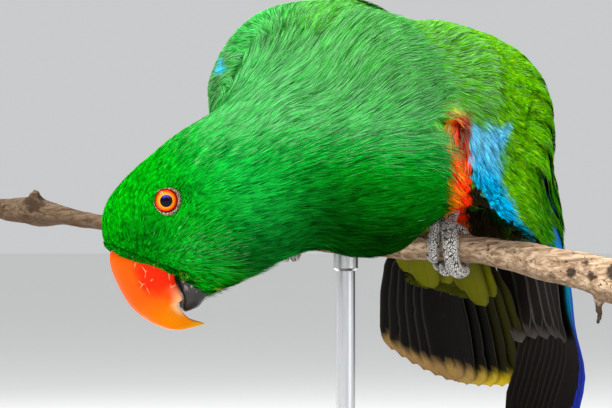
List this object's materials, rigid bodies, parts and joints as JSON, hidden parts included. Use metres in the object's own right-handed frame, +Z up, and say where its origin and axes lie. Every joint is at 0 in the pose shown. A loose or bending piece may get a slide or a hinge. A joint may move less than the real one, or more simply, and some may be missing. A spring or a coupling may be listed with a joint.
{
  "type": "eclectus parrot on a perch",
  "caption": "Life-size still model of a male eclectus parrot gripping a cut branch and leaning over it, on a plain stand",
  "frame": {"origin": "centre of the underside of the stand's base", "axes": "+Z up, +X to the right of someone facing the bird's breast, +Y away from them, behind the bird"},
  "size_m": [0.2563, 0.2187, 0.2305],
  "materials": {
    "green_feathers": "soft contour feathers, vivid green, dark in the shade",
    "flight_feathers": "smooth flight feathers, green with blue outer edges, blackish below",
    "tail_feathers": "smooth tail feathers, green and blue above, blackish below with a dull yellow tip",
    "bill_horn": "glossy orange horn, redder in the middle and yellow at the tip",
    "dark_horn": "glossy blackish horn",
    "eye": "wet orange iris round a dark pupil",
    "scaly_skin": "grey scaly skin with pale edges to the scales",
    "branch_bark": "weathered beige bark with dark specks",
    "stand_metal": "brushed",
    "stand_board": "dark stained board, satin"
  },
  "bodies": {
    "root": {"head": "green_feathers", "neck": "green_feathers", "torso": "green_feathers", "thigh_left": "green_feathers", "thigh_right": "green_feathers", "wing_left": "flight_feathers", "wing_right": "flight_feathers", "tail": "tail_feathers", "bill_upper": "bill_horn", "bill_lower": "dark_horn", "eye_left": "eye", "eye_right": "eye", "foot_left": "scaly_skin", "foot_right": "scaly_skin", "perch": "branch_bark", "stand_rod": "stand_metal", "stand_base": "stand_board"}
  },
  "joints": []
}
